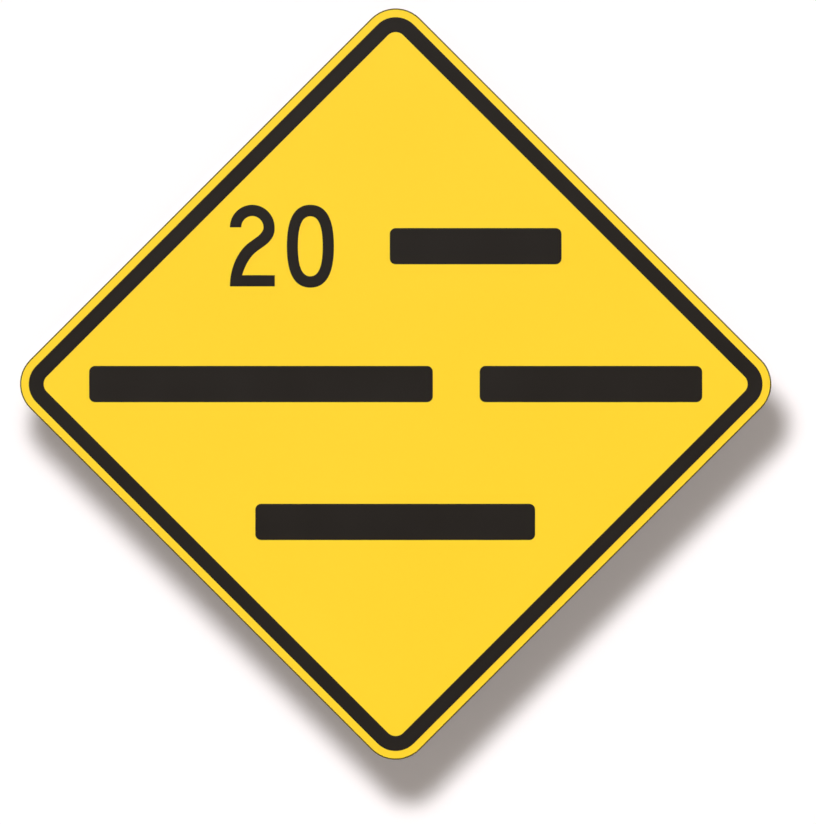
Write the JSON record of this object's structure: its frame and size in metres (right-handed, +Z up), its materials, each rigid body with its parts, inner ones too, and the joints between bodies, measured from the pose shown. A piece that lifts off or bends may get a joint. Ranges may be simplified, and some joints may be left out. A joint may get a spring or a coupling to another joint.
{
  "type": "school zone speed sign",
  "caption": "Flat diamond road sign with rounded corners: thin aluminium blank, yellow reflective sheeting on its front face and a black border band that follows the edge.",
  "frame": {"origin": "centre of the blank's flat back face", "axes": "+Z up towards the top corner, +X to the right as seen from the front, and the front face looks along -Y"},
  "size_m": [0.8304, 0.0024, 0.8304],
  "materials": {
    "bare_aluminium": "mill finish, satin",
    "yellow_sheeting": "retroreflective film, smooth and slightly glossy",
    "black_film": "black film, semi gloss"
  },
  "bodies": {
    "root": {"aluminium_blank": "bare_aluminium", "yellow_sheeting": "yellow_sheeting", "black_border": "black_film"}
  },
  "joints": []
}
